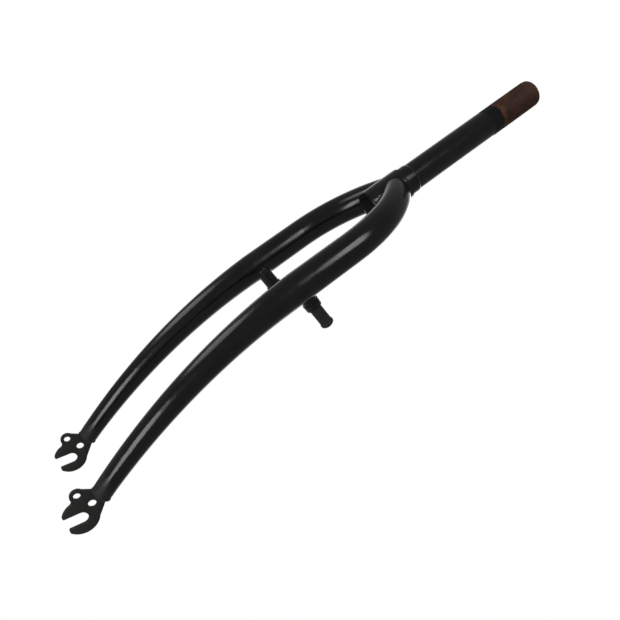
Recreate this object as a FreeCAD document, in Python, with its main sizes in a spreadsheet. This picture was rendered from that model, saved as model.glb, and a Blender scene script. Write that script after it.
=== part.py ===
import FreeCAD, Part
import math
import os
import Sketcher

from FreeCAD import Placement, Rotation, Vector

# Rigid mountain bike fork, in millimetres. The origin is on the steerer's axis at the shoulder
# under the crown race, +Z runs up the steerer, -Y is the way the bike rides and +X is the rider's left.

DIMENSIONS = {
    # Steerer: threaded 1-1/8 inch tube, measured up from the shoulder under the crown race
    "steerer_diameter": 28.6,
    "steerer_bore": 25.4,
    "steerer_length": 184.8,
    "steerer_chamfer": 0.8,
    "seat_diameter": 30.0,
    "seat_height": 10.0,
    "seat_lead": 1.4,
    "base_diameter": 33.0,
    "base_margin": 1.5,
    "thread_length": 68.5,
    "thread_root_diameter": 27.6,
    "keyway_width": 3.0,
    "keyway_depth": 0.9,
    "keyway_length": 42.0,
    # Blades: heights are measured down from the shoulder
    "blade_spread": 105.6,
    "blade_diameter": 28.6,
    "blade_wall": 1.6,
    "tip_diameter": 16.4,
    "bend_radius": 103.6,
    "bend_start": 100.4,
    "rake_start": 162.2,
    "rake_radius": 594.0,
    "rake_angle": 21.88,
    # Dropouts: measured from the middle of the blade's lower end, down and back
    "hub_spacing": 100.0,
    "plate_thickness": 3.2,
    "tang_length": 14.0,
    "tang_clearance": 0.3,
    "axle_drop": 23.0,
    "axle_setback": 1.6,
    "axle_pad_radius": 14.2,
    "neck_angle": 150.0,
    "slot_width": 10.0,
    "slot_turn": 39.0,
    "slot_reach": 12.2,
    "mouth_skew": 5.75,
    "pad_back": 0.7,
    "pad_down": 0.5,
    "eyelet_drop": 8.8,
    "eyelet_setback": 15.2,
    "eyelet_radius": 5.7,
    "eyelet_hole": 5.5,
    "tab_hole_drop": 9.5,
    "tab_hole_setback": 1.4,
    "tab_hole": 6.4,
    "inner_corner_radius": 3.5,
    "jaw_corner_radius": 1.1,
    "tip_dome_height": 5.5,
    # Brake bosses: measured along the boss from the plane of the steerer's axis
    "boss_spread": 84.0,
    "boss_drop": 158.6,
    "boss_tilt": 8.7,
    "post_diameter": 14.0,
    "post_back": 2.0,
    "post_chamfer": 4.0,
    "flange_diameter": 15.8,
    "flange_thickness": 6.0,
    "flange_reach": 29.0,
    "stud_diameter": 8.0,
    "stud_length": 19.3,
    "stud_chamfer": 0.8,
    "bolt_hole_diameter": 5.0,
    "bolt_hole_depth": 15.0,
    # Caps pushed over the brake studs
    "cap_clearance": 0.05,
    "cap_diameter": 11.6,
    "cap_lip_diameter": 12.8,
    "cap_lip_length": 4.5,
    "cap_end_wall": 4.0,
    "cap_end_gap": 0.3,
    "cap_round": 1.4,
    # Weld beads at the crown and the brake bosses
    "weld_bead": 2.0,
    "crown_bead_gap": 0.5,
}

SIDES = {"right": -1, "left": 1}

# How the dropout's corners are told apart: an edge counts as square to the plate when it spans this
# share of the thickness, and as an inner corner when this share of a ring round it lies in metal
EDGE_SHARE = 0.9
RING_RADIUS = 0.2
RING_SPOTS = 24
INNER_CORNER_SHARE = 0.58

doc = FreeCAD.newDocument("mountain_bike_fork")
sizes = doc.addObject("Spreadsheet::Sheet", "sizes")
for row, (alias, number) in enumerate(DIMENSIONS.items(), start=1):
    sizes.set(f"A{row}", alias)
    sizes.set(f"B{row}", str(number))
    sizes.setAlias(f"B{row}", alias)
doc.recompute()

# Places that several pieces share, as expressions on the sheet
LEG_X = "(sizes.blade_spread / 2)"
TIP_RADIUS = "(sizes.tip_diameter / 2)"
PLATE_X = "(sizes.hub_spacing / 2 + sizes.plate_thickness / 2)"
TIP_Y = "-sizes.rake_radius * (1 - cos(sizes.rake_angle * 1 deg))"
TIP_Z = "-sizes.rake_start - sizes.rake_radius * sin(sizes.rake_angle * 1 deg)"
BEND_ANGLE = f"acos(1 - {LEG_X} / sizes.bend_radius)"
CROTCH_ANGLE = (f"acos((sizes.base_diameter / 2 + sizes.bend_radius - {LEG_X})"
                " / (sizes.bend_radius - sizes.blade_diameter / 2))")
CROTCH_Z = f"(sizes.bend_radius - sizes.blade_diameter / 2) * sin({CROTCH_ANGLE}) - sizes.bend_start"
STEERER_FOOT = f"{CROTCH_Z} - sizes.base_margin"
STUD_END = "sizes.flange_reach + sizes.stud_length"
THREAD_START = "(sizes.steerer_length - sizes.thread_length)"
THREAD_DEPTH = "((sizes.steerer_diameter - sizes.thread_root_diameter) / 2)"

pieces = {}


def keep(label, piece):
    piece.Label = label
    pieces[label] = piece


def value_of(expression):
    return float(sizes.evalExpression(expression))


def turn_about_x(thing, prefix, degrees):
    rotation = Rotation(Vector(1, 0, 0), value_of(degrees))
    setattr(thing, prefix, Placement(Vector(), rotation))
    thing.setExpression(f"{prefix}.Rotation.Angle", degrees)


def set_place(thing, prefix, x, y, z):
    for axis, expression in (("x", x), ("y", y), ("z", z)):
        thing.setExpression(f"{prefix}.Base.{axis}", expression)


def new_sketch(body, name, plane):
    # A sketch on one of the body's own origin planes
    sketch = body.newObject("Sketcher::SketchObject", name)
    support = next(feature for feature in body.Origin.OriginFeatures if feature.Role == plane)
    sketch.AttachmentSupport = [(support, "")]
    sketch.MapMode = "FlatFace"
    return sketch


def tie(sketch, constraint, expression):
    index = sketch.addConstraint(constraint)
    sketch.setExpression(f"Constraints[{index}]", expression)


def tie_x(sketch, element, point, x):
    if x == "0":
        sketch.addConstraint(Sketcher.Constraint("PointOnObject", element, point, -2))
    else:
        tie(sketch, Sketcher.Constraint("DistanceX", -1, 1, element, point, value_of(x)), x)


def tie_y(sketch, element, point, y):
    if y == "0":
        sketch.addConstraint(Sketcher.Constraint("PointOnObject", element, point, -1))
    else:
        tie(sketch, Sketcher.Constraint("DistanceY", -1, 1, element, point, value_of(y)), y)


def draw_polygon(sketch, corners):
    places = [Vector(value_of(x), value_of(y), 0) for x, y in corners]
    lines = [sketch.addGeometry(Part.LineSegment(start, end))
             for start, end in zip(places, places[1:] + places[:1])]
    for index, (x, y) in enumerate(corners):
        sketch.addConstraint(Sketcher.Constraint("Coincident", lines[index - 1], 2, lines[index], 1))
        tie_x(sketch, lines[index], 1, x)
        tie_y(sketch, lines[index], 1, y)


def draw_circle(sketch, x, y, radius):
    centre = Vector(value_of(x), value_of(y), 0)
    circle = sketch.addGeometry(Part.Circle(centre, Vector(0, 0, 1), value_of(radius)))
    tie_x(sketch, circle, 3, x)
    tie_y(sketch, circle, 3, y)
    tie(sketch, Sketcher.Constraint("Radius", circle, value_of(radius)), radius)


def draw_arc(sketch, x, y, radius, first_angle, last_angle):
    centre = Vector(value_of(x), value_of(y), 0)
    circle = Part.Circle(centre, Vector(0, 0, 1), value_of(radius))
    arc = sketch.addGeometry(Part.ArcOfCircle(circle, math.radians(first_angle), math.radians(last_angle)))
    tie_x(sketch, arc, 3, x)
    tie_y(sketch, arc, 3, y)
    tie(sketch, Sketcher.Constraint("Radius", arc, value_of(radius)), radius)
    return arc


def add_plate_pad(body, sketch, name):
    pad = body.newObject("PartDesign::Pad", name)
    pad.Profile = sketch
    pad.SideType = "Symmetric"
    pad.setExpression("Length", "sizes.plate_thickness")
    return pad


def add_through_pocket(body, sketch, name):
    pocket = body.newObject("PartDesign::Pocket", name)
    pocket.Profile = sketch
    pocket.Type = "ThroughAll"
    pocket.SideType = "Symmetric"
    return pocket


def add_revolution(body, sketch, name):
    turned = body.newObject("PartDesign::Revolution", name)
    turned.Profile = sketch
    turned.ReferenceAxis = (sketch, ["V_Axis"])
    turned.Angle = 360
    return turned


def boolean(kind, name, base, tool):
    result = doc.addObject(f"Part::{kind}", name)
    result.Base = base
    result.Tool = tool
    return result


def make_steerer():
    # One turned tube: thick base for the welds, shoulder, crown race seat, plain steerer and threaded end
    body = doc.addObject("PartDesign::Body", "steerer")
    profile = new_sketch(body, "steerer_profile", "XZ_Plane")
    draw_polygon(profile, [
        ("sizes.steerer_bore / 2", STEERER_FOOT),
        ("sizes.base_diameter / 2 - sizes.steerer_chamfer", STEERER_FOOT),
        ("sizes.base_diameter / 2", f"{STEERER_FOOT} + sizes.steerer_chamfer"),
        ("sizes.base_diameter / 2", "0"),
        ("sizes.seat_diameter / 2", "0"),
        ("sizes.seat_diameter / 2", "sizes.seat_height"),
        ("sizes.steerer_diameter / 2", "sizes.seat_height + sizes.seat_lead"),
        ("sizes.steerer_diameter / 2", f"{THREAD_START}"),
        ("sizes.thread_root_diameter / 2", f"{THREAD_START} + {THREAD_DEPTH}"),
        ("sizes.thread_root_diameter / 2", "sizes.steerer_length - sizes.steerer_chamfer"),
        ("sizes.thread_root_diameter / 2 - sizes.steerer_chamfer", "sizes.steerer_length"),
        ("sizes.steerer_bore / 2", "sizes.steerer_length"),
    ])
    add_revolution(body, profile, "steerer_turning")
    # Groove down the front of the threaded end for the headset's keyed washer
    outline = new_sketch(body, "keyway_outline", "XZ_Plane")
    outline.setExpression("AttachmentOffset.Base.z", "sizes.steerer_diameter / 2 - sizes.keyway_depth")
    draw_polygon(outline, [
        ("-sizes.keyway_width / 2", "sizes.steerer_length - sizes.keyway_length"),
        ("sizes.keyway_width / 2", "sizes.steerer_length - sizes.keyway_length"),
        ("sizes.keyway_width / 2", "sizes.steerer_length + sizes.keyway_depth"),
        ("-sizes.keyway_width / 2", "sizes.steerer_length + sizes.keyway_depth"),
    ])
    groove = body.newObject("PartDesign::Pocket", "keyway")
    groove.Profile = outline
    groove.Reversed = True
    groove.setExpression("Length", "sizes.steerer_diameter")
    keep("steerer_tube", body)


def crown_path(name, side):
    # From the steerer's axis round the crown bend and down to where the rake begins
    path = doc.addObject("Sketcher::SketchObject", name)
    path.Placement = Placement(Vector(), Rotation(Vector(1, 0, 0), 90))
    leg = f"{side} * {LEG_X}"
    swing = value_of(BEND_ANGLE)
    first_angle, last_angle = (0, swing) if side > 0 else (180 - swing, 180)
    leg_point, axis_point = (1, 2) if side > 0 else (2, 1)
    centre_x = f"{side} * ({LEG_X} - sizes.bend_radius)"
    arc = draw_arc(path, centre_x, "-sizes.bend_start", "sizes.bend_radius", first_angle, last_angle)
    tie_y(path, arc, leg_point, "-sizes.bend_start")
    tie_x(path, arc, axis_point, "0")
    top = Vector(value_of(leg), -value_of("sizes.bend_start"), 0)
    bottom = Vector(value_of(leg), -value_of("sizes.rake_start"), 0)
    line = path.addGeometry(Part.LineSegment(top, bottom))
    path.addConstraint(Sketcher.Constraint("Coincident", arc, leg_point, line, 1))
    tie_x(path, line, 2, leg)
    tie_y(path, line, 2, "-sizes.rake_start")
    return path


def rake_path(name, side):
    # The forward sweep of the lower blade, in a plane beside the wheel
    path = doc.addObject("Sketcher::SketchObject", name)
    path.Placement = Placement(Vector(), Rotation(Vector(1, 1, 1), 120))
    path.setExpression("Placement.Base.x", f"{side} * {LEG_X}")
    arc = draw_arc(path, "-sizes.rake_radius", "-sizes.rake_start", "sizes.rake_radius",
                   -value_of("sizes.rake_angle"), 0)
    tie_y(path, arc, 1, TIP_Z)
    tie_y(path, arc, 2, "-sizes.rake_start")
    return path


def blade_solid(name, side, paths, growth):
    # The blade's outer form made thicker by growth, or thinner for its bore
    upper = doc.addObject("Part::Circle", f"{name}_upper_section")
    upper.setExpression("Radius", f"sizes.blade_diameter / 2 + {growth}")
    set_place(upper, "Placement", f"{side} * {LEG_X}", "0", "-sizes.rake_start")
    lower = doc.addObject("Part::Circle", f"{name}_lower_section")
    lower.setExpression("Radius", f"{TIP_RADIUS} + {growth}")
    turn_about_x(lower, "Placement", "-sizes.rake_angle")
    set_place(lower, "Placement", f"{side} * {LEG_X}", TIP_Y, TIP_Z)

    crown = doc.addObject("Part::Sweep", f"{name}_crown")
    crown.Sections = [upper]
    crown.Spine = (paths[0], ["Edge1", "Edge2"])
    crown.Solid = True
    taper = doc.addObject("Part::Sweep", f"{name}_taper")
    taper.Sections = [upper, lower]
    taper.Spine = (paths[1], ["Edge1"])
    taper.Solid = True
    return boolean("Fuse", name, crown, taper)


def make_blade(side_name, side, base_cylinder):
    paths = (crown_path(f"{side_name}_crown_path", side), rake_path(f"{side_name}_rake_path", side))
    outer = blade_solid(f"{side_name}_blade_form", side, paths, "0")
    bore = blade_solid(f"{side_name}_blade_bore", side, paths, "-sizes.blade_wall")
    bead_form = blade_solid(f"{side_name}_bead_form", side, paths, "sizes.weld_bead")
    tube = boolean("Cut", f"{side_name}_blade_tube", outer, bore)
    keep(f"{side_name}_blade", boolean("Cut", f"{side_name}_mitred_blade", tube, base_cylinder))
    return outer, bead_form


def place_at_tip(body, x):
    turn_about_x(body, "Placement", "-sizes.rake_angle")
    set_place(body, "Placement", x, TIP_Y, TIP_Z)


def plate_edges(shape, wanted):
    # Names of the edges that run square through the plate and whose middle the test accepts
    names = []
    for index, edge in enumerate(shape.Edges, start=1):
        start, end = edge.Vertexes[0].Point, edge.Vertexes[-1].Point
        if abs(end.x - start.x) > EDGE_SHARE * value_of("sizes.plate_thickness") and wanted((start + end) / 2):
            names.append(f"Edge{index}")
    return names


def is_inner_corner(shape, place):
    # True where well over half of a small ring round the edge lies in metal
    turns = (2 * math.pi * count / RING_SPOTS for count in range(RING_SPOTS))
    ring = [place + Vector(0, math.cos(turn), math.sin(turn)) * RING_RADIUS for turn in turns]
    inside = sum(shape.isInside(spot, RING_RADIUS / 1000, True) for spot in ring)
    return inside > INNER_CORNER_SHARE * RING_SPOTS


def add_fillet(body, name, radius, wanted):
    doc.recompute()
    shaped = body.Tip
    fillet = body.newObject("PartDesign::Fillet", name)
    fillet.Base = (shaped, plate_edges(shaped.Shape, wanted))
    fillet.setExpression("Radius", radius)
    doc.recompute()


def round_corners(body, side_name):
    # Rounds the corners between neck, pad and eyelet, and the four tips of the slot's jaws
    turn = math.radians(value_of("sizes.slot_turn - sizes.mouth_skew"))
    mouth_way = Vector(0, math.sin(turn), -math.cos(turn))
    axle = Vector(0, value_of("sizes.axle_setback"), -value_of("sizes.axle_drop"))
    reach = value_of("sizes.slot_reach")
    doc.recompute()
    plate = body.Tip.Shape
    add_fillet(body, f"{side_name}_inner_corners", "sizes.inner_corner_radius",
               lambda place: place.z < -RING_RADIUS and is_inner_corner(plate, place))
    add_fillet(body, f"{side_name}_jaw_tips", "sizes.jaw_corner_radius",
               lambda place: abs((place - axle).dot(mouth_way) - reach) < RING_RADIUS / 10)


def make_dropout(side_name, side):
    # Stamped plate: tang inside the blade, neck, axle pad with its open slot, and mudguard eyelet
    body = doc.addObject("PartDesign::Body", f"{side_name}_dropout_plate")
    off_centre = f"(abs({LEG_X} - {PLATE_X}) + sizes.plate_thickness / 2)"
    tang = f"(sqrt(({TIP_RADIUS} - sizes.blade_wall) ^ 2 - {off_centre} ^ 2) - sizes.tang_clearance)"
    # The pad's middle lies a little behind and below the axle, so the rear jaw is the longer one
    pad_x = ("(sizes.axle_setback + sizes.pad_back * cos(sizes.slot_turn * 1 deg)"
             " + sizes.pad_down * sin(sizes.slot_turn * 1 deg))")
    pad_y = ("(-sizes.axle_drop + sizes.pad_back * sin(sizes.slot_turn * 1 deg)"
             " - sizes.pad_down * cos(sizes.slot_turn * 1 deg))")
    neck_x = f"{pad_x} + sizes.axle_pad_radius * cos(sizes.neck_angle * 1 deg)"
    neck_y = f"{pad_y} + sizes.axle_pad_radius * sin(sizes.neck_angle * 1 deg)"
    web = new_sketch(body, f"{side_name}_web_outline", "YZ_Plane")
    draw_polygon(web, [
        (f"-{tang}", "sizes.tang_length"),
        (f"-{tang}", "0"),
        (neck_x, neck_y),
        (pad_x, pad_y),
        (f"{pad_x} + sizes.axle_pad_radius", pad_y),
        ("sizes.eyelet_setback", "-sizes.eyelet_drop - sizes.eyelet_radius"),
        ("sizes.eyelet_setback", "-sizes.eyelet_drop + sizes.eyelet_radius"),
        (TIP_RADIUS, "0"),
        (tang, "0"),
        (tang, "sizes.tang_length"),
    ])
    add_plate_pad(body, web, f"{side_name}_web")
    rounds = {
        "axle_pad": (pad_x, pad_y, "sizes.axle_pad_radius"),
        "eyelet": ("sizes.eyelet_setback", "-sizes.eyelet_drop", "sizes.eyelet_radius"),
    }
    for name, circle in rounds.items():
        outline = new_sketch(body, f"{side_name}_{name}_outline", "YZ_Plane")
        draw_circle(outline, *circle)
        add_plate_pad(body, outline, f"{side_name}_{name}")

    holes = {
        "slot_end": ("sizes.axle_setback", "-sizes.axle_drop", "sizes.slot_width / 2"),
        "eyelet_hole": ("sizes.eyelet_setback", "-sizes.eyelet_drop", "sizes.eyelet_hole / 2"),
        "tab_hole": ("sizes.tab_hole_setback", "-sizes.tab_hole_drop", "sizes.tab_hole / 2"),
    }
    for name, circle in holes.items():
        outline = new_sketch(body, f"{side_name}_{name}_outline", "YZ_Plane")
        draw_circle(outline, *circle)
        add_through_pocket(body, outline, f"{side_name}_{name}_cut")

    # The slot and its mouth are drawn about the axle, turned to the way the wheel drops out
    far = "2 * sizes.axle_pad_radius"
    cuts = {
        "slot": ("sizes.slot_width / 2", "0", "sizes.slot_turn"),
        "mouth": (far, "-sizes.slot_reach", "sizes.slot_turn - sizes.mouth_skew"),
    }
    for name, (half_width, top, turn) in cuts.items():
        outline = new_sketch(body, f"{side_name}_{name}_outline", "YZ_Plane")
        outline.AttachmentOffset = Placement(Vector(), Rotation(Vector(0, 0, 1), value_of(turn)))
        outline.setExpression("AttachmentOffset.Rotation.Angle", turn)
        set_place(outline, "AttachmentOffset", "sizes.axle_setback", "-sizes.axle_drop", "0")
        draw_polygon(outline, [
            (f"-{half_width}", top),
            (half_width, top),
            (half_width, f"-{far}"),
            (f"-{half_width}", f"-{far}"),
        ])
        add_through_pocket(body, outline, f"{side_name}_{name}_cut")
    round_corners(body, side_name)
    place_at_tip(body, f"{side} * {PLATE_X}")
    keep(f"{side_name}_dropout", body)
    return body


def make_tip_fill(side_name, side, plate):
    # Domed filler metal that closes the blade's end on both faces of the plate
    body = doc.addObject("PartDesign::Body", f"{side_name}_tip_dome")
    profile = new_sketch(body, f"{side_name}_dome_profile", "XZ_Plane")
    dome_radius = f"({TIP_RADIUS} ^ 2 + sizes.tip_dome_height ^ 2) / (2 * sizes.tip_dome_height)"
    centre_y = f"{dome_radius} - sizes.tip_dome_height"
    rim_angle = math.degrees(math.atan2(-value_of(centre_y), value_of(TIP_RADIUS)))
    arc = draw_arc(profile, "0", centre_y, dome_radius, -90, rim_angle)
    tie_x(profile, arc, 1, "0")
    tie_y(profile, arc, 2, "0")
    rim = Vector(value_of(TIP_RADIUS), 0, 0)
    bottom = Vector(0, -value_of("sizes.tip_dome_height"), 0)
    across = profile.addGeometry(Part.LineSegment(rim, Vector()))
    axis = profile.addGeometry(Part.LineSegment(Vector(), bottom))
    profile.addConstraint(Sketcher.Constraint("Coincident", arc, 2, across, 1))
    profile.addConstraint(Sketcher.Constraint("Coincident", across, 2, axis, 1))
    profile.addConstraint(Sketcher.Constraint("Coincident", axis, 2, arc, 1))
    profile.addConstraint(Sketcher.Constraint("Coincident", across, 2, -1, 1))
    add_revolution(body, profile, f"{side_name}_dome")
    place_at_tip(body, f"{side} * {LEG_X}")
    keep(f"{side_name}_tip_fill", boolean("Cut", f"{side_name}_tip_halves", body, plate))


def place_on_boss(thing, side):
    # Local +Z runs forward and slightly up, out along the brake stud
    turn_about_x(thing, "Placement", "90 - sizes.boss_tilt")
    set_place(thing, "Placement", f"{side} * sizes.boss_spread / 2", "0", "-sizes.boss_drop")


def make_boss(side_name, side, blade_form):
    # Turned boss: post shaped to the blade, flange, and stud drilled for the brake's bolt
    body = doc.addObject("PartDesign::Body", f"{side_name}_boss_turning")
    profile = new_sketch(body, f"{side_name}_boss_profile", "XZ_Plane")
    hole_bottom = f"{STUD_END} - sizes.bolt_hole_depth"
    draw_polygon(profile, [
        ("0", "sizes.post_back"),
        ("sizes.post_diameter / 2 - sizes.post_chamfer", "sizes.post_back"),
        ("sizes.post_diameter / 2", "sizes.post_back + sizes.post_chamfer"),
        ("sizes.post_diameter / 2", "sizes.flange_reach - sizes.flange_thickness"),
        ("sizes.flange_diameter / 2", "sizes.flange_reach - sizes.flange_thickness"),
        ("sizes.flange_diameter / 2", "sizes.flange_reach"),
        ("sizes.stud_diameter / 2", "sizes.flange_reach"),
        ("sizes.stud_diameter / 2", f"{STUD_END} - sizes.stud_chamfer"),
        ("sizes.stud_diameter / 2 - sizes.stud_chamfer", STUD_END),
        ("sizes.bolt_hole_diameter / 2", STUD_END),
        ("sizes.bolt_hole_diameter / 2", hole_bottom),
        ("0", f"{hole_bottom} - sizes.bolt_hole_diameter / 4"),
    ])
    add_revolution(body, profile, f"{side_name}_boss_form")
    place_on_boss(body, side)
    keep(f"{side_name}_brake_boss", boolean("Cut", f"{side_name}_boss_on_blade", body, blade_form))
    return body


def make_cap(side_name, side):
    # Moulded cap over the stud, seated on the flange, with a thicker closed end
    body = doc.addObject("PartDesign::Body", f"{side_name}_cap")
    profile = new_sketch(body, f"{side_name}_cap_profile", "XZ_Plane")
    bore = "sizes.stud_diameter / 2 + sizes.cap_clearance"
    bore_end = f"{STUD_END} + sizes.cap_end_gap"
    cap_end = f"{STUD_END} + sizes.cap_end_wall"
    draw_polygon(profile, [
        (bore, "sizes.flange_reach"),
        ("sizes.cap_diameter / 2", "sizes.flange_reach"),
        ("sizes.cap_diameter / 2", f"{cap_end} - sizes.cap_lip_length"),
        ("sizes.cap_lip_diameter / 2", f"{cap_end} - sizes.cap_lip_length + sizes.cap_round"),
        ("sizes.cap_lip_diameter / 2", f"{cap_end} - sizes.cap_round"),
        ("sizes.cap_lip_diameter / 2 - sizes.cap_round", cap_end),
        ("0", cap_end),
        ("0", bore_end),
        (bore, bore_end),
    ])
    add_revolution(body, profile, f"{side_name}_cap_form")
    place_on_boss(body, side)
    keep(f"{side_name}_stud_cap", body)


def make_boss_bead(side_name, side, boss, blade_form, bead_form):
    # Fillet of weld metal where the post meets the blade
    post = doc.addObject("Part::Cylinder", f"{side_name}_post_bead_form")
    post.setExpression("Radius", "sizes.post_diameter / 2 + sizes.weld_bead")
    post.setExpression("Height", "sizes.flange_reach - sizes.flange_thickness - sizes.post_back")
    turn_about_x(post, "Placement", "90 - sizes.boss_tilt")
    set_place(post, "Placement", f"{side} * sizes.boss_spread / 2",
              "-sizes.post_back * cos(sizes.boss_tilt * 1 deg)",
              "-sizes.boss_drop + sizes.post_back * sin(sizes.boss_tilt * 1 deg)")
    near_both = boolean("Common", f"{side_name}_boss_bead_block", post, bead_form)
    off_blade = boolean("Cut", f"{side_name}_boss_bead_ring", near_both, blade_form)
    keep(f"{side_name}_boss_weld", boolean("Cut", f"{side_name}_boss_bead", off_blade, boss))


def make_crown_bead(side_name, side, blade_form, bead_form, base_cylinder, bead_cylinder):
    # Weld metal round the saddle where the blade's mitre meets the steerer's base, on its own side
    own_side = doc.addObject("Part::Box", f"{side_name}_crown_side")
    own_side.setExpression("Length", LEG_X)
    own_side.setExpression("Width", "2 * sizes.base_diameter")
    own_side.setExpression("Height", "2 * sizes.bend_start")
    edge = "sizes.crown_bead_gap / 2" if side > 0 else f"-sizes.crown_bead_gap / 2 - {LEG_X}"
    set_place(own_side, "Placement", edge, "-sizes.base_diameter", "-1.5 * sizes.bend_start")
    near_both = boolean("Common", f"{side_name}_crown_bead_block", bead_form, bead_cylinder)
    half = boolean("Common", f"{side_name}_crown_bead_half", near_both, own_side)
    off_blade = boolean("Cut", f"{side_name}_crown_bead_ring", half, blade_form)
    keep(f"{side_name}_crown_weld", boolean("Cut", f"{side_name}_crown_bead", off_blade, base_cylinder))


def make_base_cylinder(name, radius, foot):
    # The steerer's base drawn up past the top of the blades' mitres
    cylinder = doc.addObject("Part::Cylinder", name)
    cylinder.setExpression("Radius", radius)
    cylinder.setExpression("Height", "2 * sizes.bend_start")
    cylinder.setExpression("Placement.Base.z", foot)
    return cylinder


make_steerer()

base = make_base_cylinder("base_cylinder", "sizes.base_diameter / 2", "-1.5 * sizes.bend_start")
base_bead = make_base_cylinder("base_bead_cylinder", "sizes.base_diameter / 2 + sizes.weld_bead",
                               f"{STEERER_FOOT} + sizes.steerer_chamfer")
for hand, sign in SIDES.items():
    form, swollen_form = make_blade(hand, sign, base)
    dropout = make_dropout(hand, sign)
    make_tip_fill(hand, sign, dropout)
    boss_body = make_boss(hand, sign, form)
    make_cap(hand, sign)
    make_boss_bead(hand, sign, boss_body, form, swollen_form)
    make_crown_bead(hand, sign, form, swollen_form, base, base_bead)
doc.recompute()

for item in doc.Objects:
    if "Invalid" in item.State or "Error" in item.State:
        raise RuntimeError(f"{item.Name} failed: {item.State}")
for label, piece in pieces.items():
    if piece.Shape.isNull() or not piece.Shape.isValid():
        raise RuntimeError(f"{label} has no valid shape")

os.makedirs("parts", exist_ok=True)
for label, piece in pieces.items():
    piece.Shape.exportStep(os.path.join("parts", f"{label}.step"))
    print(f"{label}: {len(piece.Shape.Solids)} solids, {piece.Shape.Volume / 1000:.2f} cm3")
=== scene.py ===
import math

import bpy
from mathutils import Matrix, Vector


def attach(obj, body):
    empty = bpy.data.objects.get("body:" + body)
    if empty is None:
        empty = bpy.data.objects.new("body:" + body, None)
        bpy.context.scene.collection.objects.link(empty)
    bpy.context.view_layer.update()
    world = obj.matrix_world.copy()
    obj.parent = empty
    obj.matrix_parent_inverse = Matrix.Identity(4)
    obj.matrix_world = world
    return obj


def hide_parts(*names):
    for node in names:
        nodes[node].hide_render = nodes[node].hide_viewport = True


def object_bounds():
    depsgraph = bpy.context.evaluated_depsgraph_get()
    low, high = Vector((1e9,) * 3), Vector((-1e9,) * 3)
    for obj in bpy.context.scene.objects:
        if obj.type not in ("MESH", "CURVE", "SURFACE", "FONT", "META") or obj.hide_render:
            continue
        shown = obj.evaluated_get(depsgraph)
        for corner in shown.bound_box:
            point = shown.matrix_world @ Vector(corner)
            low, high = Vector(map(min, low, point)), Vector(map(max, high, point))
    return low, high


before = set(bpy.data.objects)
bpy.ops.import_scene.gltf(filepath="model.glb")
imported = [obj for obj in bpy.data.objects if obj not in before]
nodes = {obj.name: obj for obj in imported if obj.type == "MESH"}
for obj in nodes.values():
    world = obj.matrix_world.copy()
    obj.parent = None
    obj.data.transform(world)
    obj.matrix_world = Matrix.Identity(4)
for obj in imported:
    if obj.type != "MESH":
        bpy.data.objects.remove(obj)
cadBox = [list(corner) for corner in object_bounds()]
scene = bpy.context.scene
sides = {"right": -1, "left": 1}
mergeDistance = 1e-6
print("fork loaded:", len(nodes), "nodes")


# Selecting and editing

def deselectAll():
    if bpy.context.object and bpy.context.object.mode != "OBJECT":
        bpy.ops.object.mode_set(mode="OBJECT")
    bpy.ops.object.select_all(action="DESELECT")


def makeActive(piece):
    deselectAll()
    piece.select_set(True)
    bpy.context.view_layer.objects.active = piece


def enterEdit():
    bpy.ops.object.mode_set(mode="EDIT")


def leaveEdit():
    bpy.ops.object.mode_set(mode="OBJECT")


def editAll(piece):
    makeActive(piece)
    enterEdit()
    bpy.ops.mesh.select_mode(type="VERT")
    bpy.ops.mesh.select_all(action="SELECT")


# Leaves the piece in edit mode with only the faces that wanted(face) picks
def editFaces(piece, wanted):
    makeActive(piece)
    enterEdit()
    bpy.ops.mesh.select_mode(type="FACE")
    bpy.ops.mesh.select_all(action="DESELECT")
    leaveEdit()
    for face in piece.data.polygons:
        face.select = wanted(face)
    enterEdit()


def deletePoints(piece, unwanted):
    editAll(piece)
    bpy.ops.mesh.select_all(action="DESELECT")
    leaveEdit()
    for vertex in piece.data.vertices:
        vertex.select = unwanted(vertex.co)
    enterEdit()
    bpy.ops.mesh.delete(type="VERT")
    leaveEdit()


# The primitive just added, with its place and turn put into its mesh
def settled():
    piece = bpy.context.active_object
    bpy.ops.object.transform_apply(location=True, rotation=True, scale=True)
    return piece


# A merged working copy of a CAD node's mesh
def copyOfNode(nodeName, pieceName):
    piece = bpy.data.objects.new(pieceName, nodes[nodeName].data.copy())
    scene.collection.objects.link(piece)
    editAll(piece)
    bpy.ops.mesh.customdata_custom_splitnormals_clear()
    bpy.ops.mesh.remove_doubles(threshold=mergeDistance)
    leaveEdit()
    return piece


# Shaping and finishing

meltFactor = 0.5  # how far each smoothing pass goes


def applyModifier(piece, kind, settings):
    makeActive(piece)
    modifier = piece.modifiers.new(kind.lower(), kind)
    for key, value in settings.items():
        setattr(modifier, key, value)
    bpy.ops.object.modifier_apply(modifier=modifier.name)


# Two bodies joined into one skin whose inner corners are run out
def meltTogether(piece, other, form):
    makeActive(piece)
    other.select_set(True)
    bpy.ops.object.join()
    applyModifier(piece, "REMESH", {"mode": "VOXEL", "voxel_size": form["voxel"]})
    applyModifier(piece, "SMOOTH", {"factor": meltFactor, "iterations": form["smoothing"]})


# Moves every point along its own normal by what height(place) says, but not out of the CAD box
def pushOut(piece, height):
    low, high = cadBox
    normals = [vertex.normal.copy() for vertex in piece.data.vertices]
    for vertex, normal in zip(piece.data.vertices, normals):
        moved = vertex.co + normal * height(vertex.co)
        vertex.co = [min(max(value, least), most) for value, least, most in zip(moved, low, high)]
    piece.data.update()


def smoothByAngle(piece, degrees):
    makeActive(piece)
    bpy.ops.object.shade_smooth_by_angle(angle=math.radians(degrees))


def dress(piece, material):
    piece.data.materials.clear()
    piece.data.materials.append(material)
    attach(piece, "root")


# Shader nodes

mixSockets = {"RGBA": (6, 7, 2), "FLOAT": (2, 3, 0)}  # first, second and result of a Mix node


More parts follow.
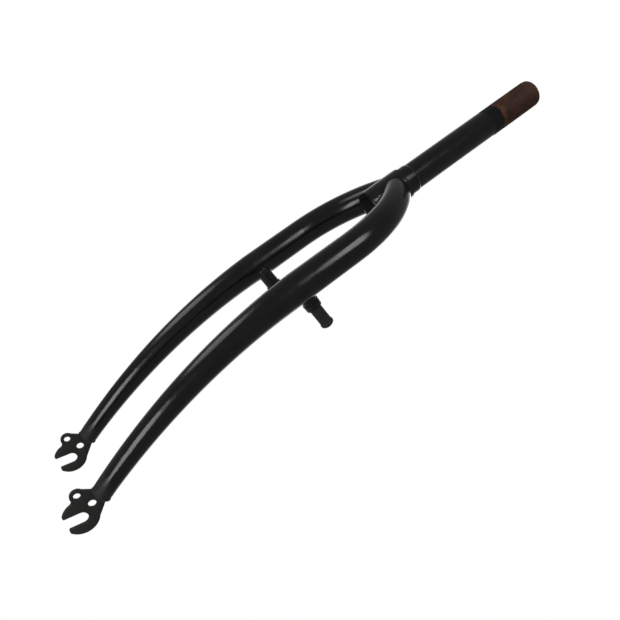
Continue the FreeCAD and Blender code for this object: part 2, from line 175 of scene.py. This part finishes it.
def newMaterial(name):
    material = bpy.data.materials.new(name)
    material.use_nodes = True
    tree = material.node_tree
    return material, tree, tree.nodes["Principled BSDF"]


def addNode(tree, kind, inputs=None, **settings):
    node = tree.nodes.new(kind)
    for key, value in settings.items():
        setattr(node, key, value)
    for key, value in (inputs or {}).items():
        if isinstance(value, bpy.types.NodeSocket):
            tree.links.new(value, node.inputs[key])
        else:
            node.inputs[key].default_value = value
    return node


def objectPlace(tree):
    return addNode(tree, "ShaderNodeTexCoord").outputs["Object"]


def noise(tree, place, scale, detail, roughness=0.55):
    return addNode(tree, "ShaderNodeTexNoise", {
        "Vector": place, "Scale": scale, "Detail": detail, "Roughness": roughness}).outputs["Fac"]


def opaque(colour):
    return (*colour, 1.0)


def ramp(tree, factor, stops):
    node = addNode(tree, "ShaderNodeValToRGB", {"Fac": factor})
    elements = node.color_ramp.elements
    while len(elements) < len(stops):
        elements.new(0.5)
    for element, (position, colour) in zip(elements, stops):
        element.position = position
        element.color = opaque(colour)
    return node.outputs["Color"]


def span(tree, value, fromLow, fromHigh, toLow, toHigh, **settings):
    return addNode(tree, "ShaderNodeMapRange", {
        "Value": value, "From Min": fromLow, "From Max": fromHigh,
        "To Min": toLow, "To Max": toHigh}, **settings).outputs["Result"]


def calculate(tree, operation, first, second):
    node = addNode(tree, "ShaderNodeMath", {0: first, 1: second}, operation=operation)
    return node.outputs["Value"]


def mix(tree, kind, factor, first, second):
    firstInput, secondInput, result = mixSockets[kind]
    inputs = {"Factor": factor, firstInput: first, secondInput: second}
    return addNode(tree, "ShaderNodeMix", inputs, data_type=kind).outputs[result]


def mixColour(tree, factor, first, second):
    return mix(tree, "RGBA", factor, first, second)


def mixValue(tree, factor, first, second):
    return mix(tree, "FLOAT", factor, first, second)


def bump(tree, height, strength, distance, under=None):
    inputs = {"Height": height, "Strength": strength, "Distance": distance}
    if under is not None:
        inputs["Normal"] = under
    return addNode(tree, "ShaderNodeBump", inputs).outputs["Normal"]


# Black enamel: thin gloss paint with orange peel and rubbed patches, dusty and dull at the tips

enamel = {
    "dark": (0.0026, 0.0026, 0.0028), "light": (0.0052, 0.0052, 0.0056),
    "patchScale": 38.0, "patchDetail": 6.0, "darkBelow": 0.35, "lightAbove": 0.68,
    "glossy": 0.12, "dull": 0.21, "specular": 0.29,
    "sheenScale": 64.6, "sheenDetail": 7.0, "glossyBelow": 0.32, "dullAbove": 0.70,
    "peelScale": 620.0, "peelDetail": 2.0, "peelStrength": 0.35, "peelDepth": 0.00003,
    "waveScale": 103.33333, "waveDetail": 1.0, "waveStrength": 0.20, "waveDepth": 0.00006,
    "dusty": (0.0108, 0.0106, 0.0094), "dustTop": -0.3700, "dustFull": -0.3840, "thickDust": 0.85,
    "lowDust": (0.0152, 0.0154, 0.0122), "lowTop": -0.3980, "lowFull": -0.4160,
    "dullTop": -0.3690, "dullFull": -0.3800, "dullRough": 0.60}


def downwards(tree, place, top, full, most=1.0):
    height = addNode(tree, "ShaderNodeSeparateXYZ", {"Vector": place}).outputs["Z"]
    return span(tree, height, top, full, 0.0, most)


def enamelColour(tree, place):
    patch = noise(tree, place, enamel["patchScale"], enamel["patchDetail"])
    paint = ramp(tree, patch, [
        (enamel["darkBelow"], enamel["dark"]), (enamel["lightAbove"], enamel["light"])])
    # dust grows towards the brazed tips, covers the plates and is thickest at their lower edge
    low = downwards(tree, place, enamel["lowTop"], enamel["lowFull"])
    dust = mixColour(tree, low, opaque(enamel["dusty"]), opaque(enamel["lowDust"]))
    covered = downwards(tree, place, enamel["dustTop"], enamel["dustFull"], enamel["thickDust"])
    return mixColour(tree, covered, paint, dust)


def enamelRoughness(tree, place):
    sheen = noise(tree, place, enamel["sheenScale"], enamel["sheenDetail"])
    paint = span(tree, sheen, enamel["glossyBelow"], enamel["dullAbove"],
                 enamel["glossy"], enamel["dull"])
    dull = downwards(tree, place, enamel["dullTop"], enamel["dullFull"])
    return mixValue(tree, dull, paint, enamel["dullRough"])


def enamelNormal(tree, place):
    peel = noise(tree, place, enamel["peelScale"], enamel["peelDetail"])
    wave = noise(tree, place, enamel["waveScale"], enamel["waveDetail"])
    soft = bump(tree, wave, enamel["waveStrength"], enamel["waveDepth"])
    return bump(tree, peel, enamel["peelStrength"], enamel["peelDepth"], soft)


def makeEnamel():
    material, tree, shader = newMaterial("blackEnamel")
    place = objectPlace(tree)
    tree.links.new(enamelColour(tree, place), shader.inputs["Base Color"])
    tree.links.new(enamelRoughness(tree, place), shader.inputs["Roughness"])
    tree.links.new(enamelNormal(tree, place), shader.inputs["Normal"])
    shader.inputs["Specular IOR Level"].default_value = enamel["specular"]
    return material


# Steerer finish: enamel below, browned steel above a ragged paint edge, and in the bore a grey
# overspray kept lighter than the enamel as painted light against the shade inside the tube

brownSteel = {
    "paintEdge": 0.1312, "fade": 0.0008, "ragged": 0.0016,
    "raggedScale": 210.0, "raggedDetail": 5.0, "raggedLow": 0.2, "raggedHigh": 0.8,
    "deep": (0.0198, 0.0064, 0.0032), "deepStop": 0.32,
    "brown": (0.0376, 0.0122, 0.0058), "brownStop": 0.52,
    "rust": (0.0760, 0.0254, 0.0064), "rustStop": 0.74,
    "blotchScale": 62.0, "blotchDetail": 8.0, "blotchRoughness": 0.65,
    "orange": (0.1160, 0.0352, 0.0064), "orangeHigh": 0.1430, "mostOrange": 0.85,
    "olive": (0.0560, 0.0350, 0.0130), "oliveLow": 0.1740, "oliveFull": 0.1860, "mostOlive": 0.8,
    "stainScale": 99.2, "stainDetail": 5.0, "stainLow": 0.42, "stainHigh": 0.62,
    "speckScale": 700.0, "speckDetail": 4.0, "speckLow": 0.3, "speckHigh": 0.7,
    "smooth": 0.42, "coarse": 0.68, "pitStrength": 0.5, "pitDepth": 0.00008, "specular": 0.28,
    # bore: a grey that is partly overspray and partly painted light, lighter than the enamel to
    # lift the shade inside the tube
    "boreEdge": 0.01305, "bore": (0.0240, 0.0225, 0.0210), "boreRough": 0.75}


def brownedColour(tree, place, height):
    # mottled brown, warmer where the paint has lifted and olive with oil round the cut end
    steel = brownSteel
    blotch = noise(tree, place, steel["blotchScale"], steel["blotchDetail"],
                   steel["blotchRoughness"])
    brown = ramp(tree, blotch, [
        (steel[tone + "Stop"], steel[tone]) for tone in ("deep", "brown", "rust")])
    stain = noise(tree, place, steel["stainScale"], steel["stainDetail"])
    patchy = span(tree, stain, steel["stainLow"], steel["stainHigh"], 0.0, 1.0)
    nearPaint = span(tree, height, steel["orangeHigh"], steel["paintEdge"],
                     0.0, steel["mostOrange"])
    nearEnd = span(tree, height, steel["oliveLow"], steel["oliveFull"], 0.0, steel["mostOlive"])
    warm = calculate(tree, "MULTIPLY", nearPaint, patchy)
    oily = calculate(tree, "MULTIPLY", nearEnd, patchy)
    brown = mixColour(tree, warm, brown, opaque(steel["orange"]))
    return mixColour(tree, oily, brown, opaque(steel["olive"]))


# 0 under paint, 1 on bare steel
def bareSteel(tree, place, height):
    steel = brownSteel
    tear = noise(tree, place, steel["raggedScale"], steel["raggedDetail"])
    tornEdge = span(tree, tear, steel["raggedLow"], steel["raggedHigh"],
                    steel["paintEdge"] - steel["ragged"], steel["paintEdge"] + steel["ragged"])
    above = calculate(tree, "SUBTRACT", height, tornEdge)
    return span(tree, above, 0.0, steel["fade"], 0.0, 1.0)


# 1 on the wall of the steerer's bore
def boreWall(tree, parts):
    flat = addNode(tree, "ShaderNodeCombineXYZ", {"X": parts["X"], "Y": parts["Y"]})
    radius = addNode(tree, "ShaderNodeVectorMath", {0: flat.outputs["Vector"]}, operation="LENGTH")
    return calculate(tree, "LESS_THAN", radius.outputs["Value"], brownSteel["boreEdge"])


def makeBrownSteel():
    steel = brownSteel
    material, tree, shader = newMaterial("brownedSteel")
    place = objectPlace(tree)
    parts = addNode(tree, "ShaderNodeSeparateXYZ", {"Vector": place}).outputs
    inBore = boreWall(tree, parts)
    bare = bareSteel(tree, place, parts["Z"])
    speck = noise(tree, place, steel["speckScale"], steel["speckDetail"])

    # the bore's grey is partly overspray and partly painted light that lifts the shade inside the
    # tube
    oversprayAndPaintedLight = mixColour(tree, speck, opaque(steel["bore"]), opaque(enamel["light"]))
    covered = mixColour(tree, inBore, enamelColour(tree, place), oversprayAndPaintedLight)
    colour = mixColour(tree, bare, covered, brownedColour(tree, place, parts["Z"]))
    tree.links.new(colour, shader.inputs["Base Color"])

    bareRoughness = span(tree, speck, steel["speckLow"], steel["speckHigh"],
                         steel["smooth"], steel["coarse"])
    roughness = mixValue(tree, bare, enamelRoughness(tree, place), bareRoughness)
    roughness = mixValue(tree, inBore, roughness, steel["boreRough"])
    tree.links.new(roughness, shader.inputs["Roughness"])

    pitted = span(tree, bare, 0.0, 1.0, 0.0, steel["pitStrength"])
    pits = bump(tree, speck, pitted, steel["pitDepth"], enamelNormal(tree, place))
    tree.links.new(pits, shader.inputs["Normal"])
    shader.inputs["Specular IOR Level"].default_value = steel["specular"]
    return material


# Stud caps: soft black moulding, a little greyed over a fine grain

capMoulding = {
    "dark": (0.0060, 0.0060, 0.0062), "light": (0.0125, 0.0125, 0.0128),
    "bloomScale": 90.0, "bloomDetail": 5.0, "darkBelow": 0.35, "lightAbove": 0.70,
    "smooth": 0.42, "coarse": 0.60, "smoothBelow": 0.3, "coarseAbove": 0.7, "specular": 0.3,
    "grainScale": 2600.0, "grainDetail": 2.0, "grainStrength": 0.4, "grainDepth": 0.00006}


def makeCapMoulding():
    cap = capMoulding
    material, tree, shader = newMaterial("capMoulding")
    place = objectPlace(tree)
    bloom = noise(tree, place, cap["bloomScale"], cap["bloomDetail"])
    grain = noise(tree, place, cap["grainScale"], cap["grainDetail"])
    colour = ramp(tree, bloom, [(cap["darkBelow"], cap["dark"]), (cap["lightAbove"], cap["light"])])
    tree.links.new(colour, shader.inputs["Base Color"])
    roughness = span(tree, bloom, cap["smoothBelow"], cap["coarseAbove"],
                     cap["smooth"], cap["coarse"])
    tree.links.new(roughness, shader.inputs["Roughness"])
    grained = bump(tree, grain, cap["grainStrength"], cap["grainDepth"])
    tree.links.new(grained, shader.inputs["Normal"])
    shader.inputs["Specular IOR Level"].default_value = cap["specular"]
    return material


blackEnamel = makeEnamel()
brownedSteel = makeBrownSteel()
blackCap = makeCapMoulding()
for nodeName, node in nodes.items():
    finish = blackCap if "cap" in nodeName else blackEnamel
    finish = brownedSteel if nodeName == "steerer_tube" else finish
    node.data.materials.clear()
    node.data.materials.append(finish)
print("finishes made")


# Plates, posts and caps with the soft edges that paint and moulding leave

softEdges = {
    "dropout": {"width": 0.00055, "material": blackEnamel, "slot": "black_paint"},
    "brake_boss": {"width": 0.00045, "material": blackEnamel, "slot": "black_paint"},
    "stud_cap": {"width": 0.00040, "material": blackCap, "slot": "cap_plastic"}}
edgeBevel = {"segments": 3, "flatAngle": 0.5, "cornerAngle": 28, "smoothAngle": 35}


def makeSoftEdged(nodeName, pieceName, edge):
    piece = copyOfNode(nodeName, pieceName)
    editAll(piece)
    bpy.ops.mesh.dissolve_limited(angle_limit=math.radians(edgeBevel["flatAngle"]))
    leaveEdit()
    applyModifier(piece, "BEVEL", {
        "width": edge["width"], "segments": edgeBevel["segments"], "limit_method": "ANGLE",
        "angle_limit": math.radians(edgeBevel["cornerAngle"]), "use_clamp_overlap": True})
    smoothByAngle(piece, edgeBevel["smoothAngle"])
    dress(piece, edge["material"])
    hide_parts(nodeName)


for sideName in sides:
    for kind, edge in softEdges.items():
        word = "".join(part.capitalize() for part in kind.split("_"))
        makeSoftEdged(f"{sideName}_{kind}", f"{sideName}{word}", edge)
print("soft-edged plates, posts and caps made")


# Fillets: painted welds that run one tube smoothly into another

weldSkin = {"rippleRise": 6, "sinkBand": 3, "smoothAngle": 60}


def rippleHeight(along, bead):
    phase = (along / bead["pitch"]) % 1.0
    return bead["ripple"] * (1.0 - phase) * min(1.0, phase * weldSkin["rippleRise"])


# Two bars melted together, trimmed to the skin near their seam and given a wall.
# awayFrom(point) is 0 on the seam and 1 at the fillet's rim, along(point) runs round the seam.
def makeFillet(piece, other, fillet, awayFrom, along, pieceName):
    meltTogether(piece, other, fillet)
    piece.name = pieceName
    deletePoints(piece, lambda point: awayFrom(point) > 1.0)

    def filletHeight(point):
        near = max(0.0, 1.0 - awayFrom(point))
        lift = fillet["swell"] + rippleHeight(along(point), fillet)
        return near * lift - (1.0 - min(1.0, weldSkin["sinkBand"] * near)) * fillet["sink"]

    pushOut(piece, filletHeight)
    applyModifier(piece, "SOLIDIFY", {"thickness": fillet["skin"], "offset": -1.0})
    smoothByAngle(piece, weldSkin["smoothAngle"])
    dress(piece, blackEnamel)


# Crown fillets: each blade's bend into the steerer's thick base

crownFillet = {
    "baseRadius": 0.0165, "baseFoot": -0.0430, "baseHead": -0.0002, "baseSides": 96,
    "bladeRadius": 0.0143, "bendRadius": 0.1036, "legX": 0.0528, "bendHeight": -0.1004,
    "arcStart": math.radians(22), "arcEnd": math.radians(59), "arcSteps": 36, "bladeSides": 72,
    "voxel": 0.00048, "smoothing": 34, "reach": 0.0058, "swell": 0.00016, "sink": 0.00022,
    "ripple": 0.00012, "pitch": 0.0026, "skin": 0.0007, "sideEdge": 0.0030, "sideFade": 0.0045,
    "footRadius": 0.0157, "footHeight": -0.0415, "trimmed": 2.0}


def bendCentre(side):
    crown = crownFillet
    return Vector((side * (crown["legX"] - crown["bendRadius"]), 0, crown["bendHeight"]))


# How far a point lies outside the bend's middle line, in the bend's own plane
def outsideBend(point, side):
    across = point - bendCentre(side)
    return math.hypot(across.x, across.z) - crownFillet["bendRadius"]


def makeBendTube(side):
    # a circle on the blade's bend, spun along it towards the steerer
    crown = crownFillet
    centre = bendCentre(side)
    begin = crown["arcStart"]
    out = Vector((side * math.cos(begin), 0, math.sin(begin))) * crown["bendRadius"]
    deselectAll()
    bpy.ops.mesh.primitive_circle_add(
        vertices=crown["bladeSides"], radius=crown["bladeRadius"],
        location=centre + out, rotation=(0, -side * begin, 0))
    tube = settled()
    editAll(tube)
    bpy.ops.mesh.spin(steps=crown["arcSteps"], angle=-side * (crown["arcEnd"] - begin),
                      center=centre, axis=(0, 1, 0))
    bpy.ops.mesh.select_all(action="SELECT")
    bpy.ops.mesh.remove_doubles(threshold=mergeDistance)
    bpy.ops.mesh.fill_holes(sides=0)
    bpy.ops.mesh.select_all(action="SELECT")
    bpy.ops.mesh.normals_make_consistent(inside=False)
    leaveEdit()
    return tube


def makeBaseBar():
    crown = crownFillet
    deselectAll()
    bpy.ops.mesh.primitive_cylinder_add(
        vertices=crown["baseSides"], radius=crown["baseRadius"],
        depth=crown["baseHead"] - crown["baseFoot"],
        location=(0, 0, (crown["baseHead"] + crown["baseFoot"]) / 2))
    return settled()


def awayFromSeam(point, side):
    crown = crownFillet
    fromAxis = math.hypot(point.x, point.y)
    fromBlade = math.hypot(outsideBend(point, side), point.y) - crown["bladeRadius"]
    fromBase = fromAxis - crown["baseRadius"]
    away = max(fromBlade, fromBase) / crown["reach"]
    towardsMiddle = 1.0 - (side * point.x - crown["sideEdge"]) / crown["sideFade"]
    underFoot = point.z < crown["footHeight"] and fromAxis < crown["footRadius"]
    return max(away, towardsMiddle, crown["trimmed"] if underFoot else 0.0)


def alongSeam(point, side):
    return math.atan2(point.y, outsideBend(point, side)) * crownFillet["bladeRadius"]


def makeCrownFillet(side, pieceName, nodeName):
    makeFillet(makeBaseBar(), makeBendTube(side), crownFillet,
               lambda point: awayFromSeam(point, side),
               lambda point: alongSeam(point, side), pieceName)
    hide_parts(nodeName)


for sideName, side in sides.items():
    makeCrownFillet(side, f"{sideName}CrownFillet", f"{sideName}_crown_weld")
print("crown fillets made")


# Boss fillets: the smaller welds that carry the brake posts on the blades

bossFillet = {
    "legX": 0.0528, "bladeRadius": 0.0143, "straightEnd": -0.1622, "bladeSides": 96,
    "bladeTop": -0.1300, "bladeFoot": -0.1900, "footRadius": 0.01355, "footForward": 0.00065,
    "bossX": 0.042, "bossZ": -0.1586, "tilt": math.radians(8.7), "postRadius": 0.007,
    "postBack": 0.002, "postChamfer": 0.004, "postEnd": 0.0225, "postSides": 64, "endFacing": 0.9,
    "voxel": 0.00034, "smoothing": 22, "reach": 0.0036, "swell": 0.00012, "sink": 0.00020,
    "ripple": 0.00008, "pitch": 0.0021, "skin": 0.0006}


def postFrame(side):
    origin = Vector((side * bossFillet["bossX"], 0, bossFillet["bossZ"]))
    way = Vector((0, -math.cos(bossFillet["tilt"]), math.sin(bossFillet["tilt"])))
    return origin, way


def makeBladeLength(side):
    # straight above the rake's start, then leaning and tapering a little below it
    boss = bossFillet
    middle = (boss["straightEnd"] + boss["bladeFoot"]) / 2
    deselectAll()
    bpy.ops.mesh.primitive_cone_add(
        vertices=boss["bladeSides"], radius1=boss["footRadius"], radius2=boss["bladeRadius"],
        depth=boss["straightEnd"] - boss["bladeFoot"], location=(side * boss["legX"], 0, middle))
    blade = settled()
    for vertex in blade.data.vertices:
        if vertex.co.z < middle:
            vertex.co.y -= boss["footForward"]
    editFaces(blade, lambda face: face.normal.z > boss["endFacing"])
    bpy.ops.mesh.extrude_region_move(
        TRANSFORM_OT_translate={"value": (0, 0, boss["bladeTop"] - boss["straightEnd"])})
    leaveEdit()
    return blade


def makePostBar(side):
    boss = bossFillet
    origin, way = postFrame(side)
    deselectAll()
    bpy.ops.mesh.primitive_cylinder_add(
        vertices=boss["postSides"], radius=boss["postRadius"],
        depth=boss["postEnd"] - boss["postBack"],
        location=origin + way * (boss["postEnd"] + boss["postBack"]) / 2,
        rotation=way.to_track_quat("Z", "X").to_euler())
    post = settled()
    editFaces(post, lambda face: face.normal.dot(way) < -boss["endFacing"])
    bpy.ops.mesh.bevel(offset=boss["postChamfer"], segments=1, affect="EDGES")
    leaveEdit()
    return post


def awayFromPostSeam(point, side):
    boss = bossFillet
    rakeLength = boss["straightEnd"] - boss["bladeFoot"]
    below = max(0.0, boss["straightEnd"] - point.z) / rakeLength
    bladeRadius = boss["bladeRadius"] + below * (boss["footRadius"] - boss["bladeRadius"])
    aside = point.x - side * boss["legX"]
    fromBlade = math.hypot(aside, point.y + below * boss["footForward"]) - bladeRadius
    origin, way = postFrame(side)
    out = (point - origin).dot(way)
    fromSide = (point - origin - way * out).length - boss["postRadius"]
    fromBack = boss["postBack"] - out
    fromChamfer = (fromSide + boss["postChamfer"] + fromBack) / math.sqrt(2)
    return max(fromBlade, fromSide, fromChamfer, fromBack) / boss["reach"]


def alongPostSeam(point, side):
    origin, way = postFrame(side)
    across = point - origin
    across -= way * across.dot(way)
    upwards = Vector((1, 0, 0)).cross(way)
    return math.atan2(across.dot(upwards), across.x) * bossFillet["postRadius"]


def makeBossFillet(side, pieceName, nodeName):
    makeFillet(makeBladeLength(side), makePostBar(side), bossFillet,
               lambda point: awayFromPostSeam(point, side),
               lambda point: alongPostSeam(point, side), pieceName)
    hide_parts(nodeName)


for sideName, side in sides.items():
    makeBossFillet(side, f"{sideName}BossFillet", f"{sideName}_boss_weld")
print("boss fillets made")


# Brazed tips: the dome at the foot of each blade with a soft collar over the tube's cut end

brazedTip = {
    "place": (0.0528, -0.04279, -0.38357), "lean": math.radians(21.88),
    "collarRadius": 0.0075, "collarThick": 0.00110, "collarSides": 64, "collarRound": 14,
    "voxel": 0.00034, "smoothing": 9, "swell": 0.00018, "smoothAngle": 60}


def makeCollar(side):
    tip = brazedTip
    aside, back, height = tip["place"]
    deselectAll()
    bpy.ops.mesh.primitive_torus_add(
        major_radius=tip["collarRadius"], minor_radius=tip["collarThick"],
        major_segments=tip["collarSides"], minor_segments=tip["collarRound"],
        location=(side * aside, back, height), rotation=(-tip["lean"], 0, 0))
    return settled()


def makeBrazedTip(nodeName, pieceName, side):
    collar = makeCollar(side)
    piece = copyOfNode(nodeName, pieceName)
    meltTogether(piece, collar, brazedTip)
    pushOut(piece, lambda point: brazedTip["swell"])
    smoothByAngle(piece, brazedTip["smoothAngle"])
    dress(piece, blackEnamel)
    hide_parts(nodeName)


for sideName, side in sides.items():
    makeBrazedTip(f"{sideName}_tip_fill", f"{sideName}BrazedTip", side)
print("brazed tips made")


# Thread: one flat-crested rib wound up the turned-down end of the steerer, cut across the keyway

threadRib = {
    "pitch": 0.000977, "bottom": 0.1168, "turns": 68, "steps": 48,
    "footRadius": 0.01372, "crestRadius": 0.01424, "footHalf": 0.00043, "crestHalf": 0.00007,
    "runOut": 0.0011, "endDip": 0.0002, "smoothAngle": 25, "endSides": 8,
    "keyHalf": 0.0015, "keyFoot": 0.1428, "cutReach": 3}


def windRib():
    rib = threadRib
    profile = [(rib["footRadius"], -rib["footHalf"]), (rib["crestRadius"], -rib["crestHalf"]),
               (rib["crestRadius"], rib["crestHalf"]), (rib["footRadius"], rib["footHalf"])]
    deselectAll()
    bpy.ops.mesh.primitive_circle_add(vertices=len(profile), radius=rib["footHalf"])
    piece = bpy.context.active_object
    piece.name = "threadRib"
    for vertex, (radius, height) in zip(piece.data.vertices, profile):
        vertex.co = (radius, 0, rib["bottom"] + height)
    applyModifier(piece, "SCREW", {
        "axis": "Z", "angle": 2 * math.pi, "screw_offset": rib["pitch"], "iterations": rib["turns"],
        "steps": rib["steps"], "render_steps": rib["steps"], "use_smooth_shade": False})
    return piece


# Lets the rib sink into the steerer at both of its ends
def runOutEnds(piece):
    rib = threadRib
    top = rib["bottom"] + rib["turns"] * rib["pitch"]
    for vertex in piece.data.vertices:
        radius = math.hypot(vertex.co.x, vertex.co.y)
        fromEnd = min(vertex.co.z - rib["bottom"], top - vertex.co.z)
        fade = min(1.0, max(0.0, fromEnd / rib["runOut"]))
        foot = rib["footRadius"] - rib["endDip"] * (1 - fade)
        wanted = foot + (radius - rib["footRadius"]) * fade
        vertex.co.x *= wanted / radius
        vertex.co.y *= wanted / radius


# Edits the faces of the rib that lie above the keyway's foot and within halfWidth of its middle
def editOverKeyway(piece, halfWidth):
    def overKeyway(face):
        middle = face.center
        return middle.y < 0 and abs(middle.x) < halfWidth and middle.z > threadRib["keyFoot"]

    editFaces(piece, overKeyway)


def cutKeyway(piece):
    keyHalf = threadRib["keyHalf"]
    for edge in (-keyHalf, keyHalf):
        editOverKeyway(piece, threadRib["cutReach"] * keyHalf)
        bpy.ops.mesh.bisect(plane_co=(edge, 0, 0), plane_no=(1, 0, 0))
        leaveEdit()
    editOverKeyway(piece, keyHalf)
    bpy.ops.mesh.delete(type="FACE")
    leaveEdit()


def makeThreadRib():
    piece = windRib()
    runOutEnds(piece)
    cutKeyway(piece)
    editAll(piece)
    bpy.ops.mesh.fill_holes(sides=threadRib["endSides"])
    bpy.ops.mesh.select_all(action="SELECT")
    bpy.ops.mesh.normals_make_consistent(inside=False)
    leaveEdit()
    smoothByAngle(piece, threadRib["smoothAngle"])
    dress(piece, brownedSteel)


makeThreadRib()
print("thread wound")


# Floor, far enough below to stay out of the main view

stage = {"floorHeight": -1.50, "floorRadius": 2.10, "floorSides": 96,
         "floorColour": (0.80, 0.80, 0.79), "floorRough": 0.9}


def makeFloor():
    deselectAll()
    bpy.ops.mesh.primitive_circle_add(
        vertices=stage["floorSides"], radius=stage["floorRadius"], fill_type="NGON",
        location=(0, 0, stage["floorHeight"]))
    floor = settled()
    floor.name = "studioFloor"
    material, _, shader = newMaterial("paleFloor")
    shader.inputs["Base Color"].default_value = opaque(stage["floorColour"])
    shader.inputs["Roughness"].default_value = stage["floorRough"]
    shader.inputs["Specular IOR Level"].default_value = 0.0
    floor.data.materials.append(material)


# Camera: low behind the rider's right side, looking up along the fork

view = {
    "place": (-0.47859, 0.18959, -0.28086),
    "right": (-0.4420, -0.4496, 0.7762),
    "down": (-0.2284, -0.7804, -0.5821),
    "forward": (0.8675, -0.4345, 0.2423),
    "focalPixels": 569.45, "imagePixels": 620, "sensorWidth": 36.0,
    "clipStart": 0.01, "clipEnd": 50}


def makeCamera():
    bpy.ops.object.camera_add()
    camera = bpy.context.active_object
    camera.name = "photoCamera"
    right, down, forward = (Vector(view[key]) for key in ("right", "down", "forward"))
    turn = Matrix((right, -down, -forward)).transposed()
    camera.matrix_world = Matrix.Translation(Vector(view["place"])) @ turn.to_4x4()
    camera.data.sensor_width = view["sensorWidth"]
    camera.data.lens = view["focalPixels"] / view["imagePixels"] * view["sensorWidth"]
    camera.data.clip_start, camera.data.clip_end = view["clipStart"], view["clipEnd"]
    scene.camera = camera


# Room: a white backdrop behind the fork that fades into light grey
# (the edges are cosines of the angle from the camera's forward way)

room = {"white": 1.0, "grey": 0.32, "backdropEdge": 0.785, "greyEdge": 0.62}


def makeWorld():
    world = bpy.data.worlds.new("studioWorld")
    scene.world = world
    world.use_nodes = True
    tree = world.node_tree
    way = addNode(tree, "ShaderNodeTexCoord").outputs["Generated"]
    facing = addNode(tree, "ShaderNodeVectorMath", {0: way, 1: view["forward"]},
                     operation="DOT_PRODUCT").outputs["Value"]
    level = span(tree, facing, room["greyEdge"], room["backdropEdge"],
                 room["grey"], room["white"], interpolation_type="SMOOTHSTEP")
    background = tree.nodes["Background"]
    background.inputs["Color"].default_value = (1, 1, 1, 1)
    tree.links.new(level, background.inputs["Strength"])


# Lamps: oval soft boxes, each for one run of highlights

lamps = {
    "crownLamp": {"place": (-0.89, 0.58, 0.375), "aim": (-0.03, 0.0, -0.06),
                  "size": (0.66, 0.385), "power": 4.9},
    "bladeLamp": {"place": (0.26, 1.05, -0.395), "aim": (0.0, 0.0, -0.24),
                  "size": (0.92, 0.405), "power": 3.2},
    "dropoutLamp": {"place": (-0.70, 0.53, -0.82), "aim": (-0.01, -0.02, -0.34),
                    "size": (0.70, 0.33), "power": 4.7},
    "frontLamp": {"place": (0.86, -0.72, 0.53), "aim": (0.0, 0.0, -0.12),
                  "size": (1.1, 0.88), "power": 4.0}}


def makeLamp(name, lamp):
    deselectAll()
    bpy.ops.object.light_add(type="AREA", location=lamp["place"])
    light = bpy.context.active_object
    light.name = name
    light.data.shape = "ELLIPSE"
    light.data.size, light.data.size_y = lamp["size"]
    light.data.energy = lamp["power"]
    aim = Vector(lamp["aim"]) - Vector(lamp["place"])
    light.rotation_euler = aim.to_track_quat("-Z", "Y").to_euler()
    light.visible_camera = False


makeFloor()
makeWorld()
for lampName, lamp in lamps.items():
    makeLamp(lampName, lamp)
makeCamera()
scene.view_settings.view_transform = "Standard"
print("stage, lamps and camera set")
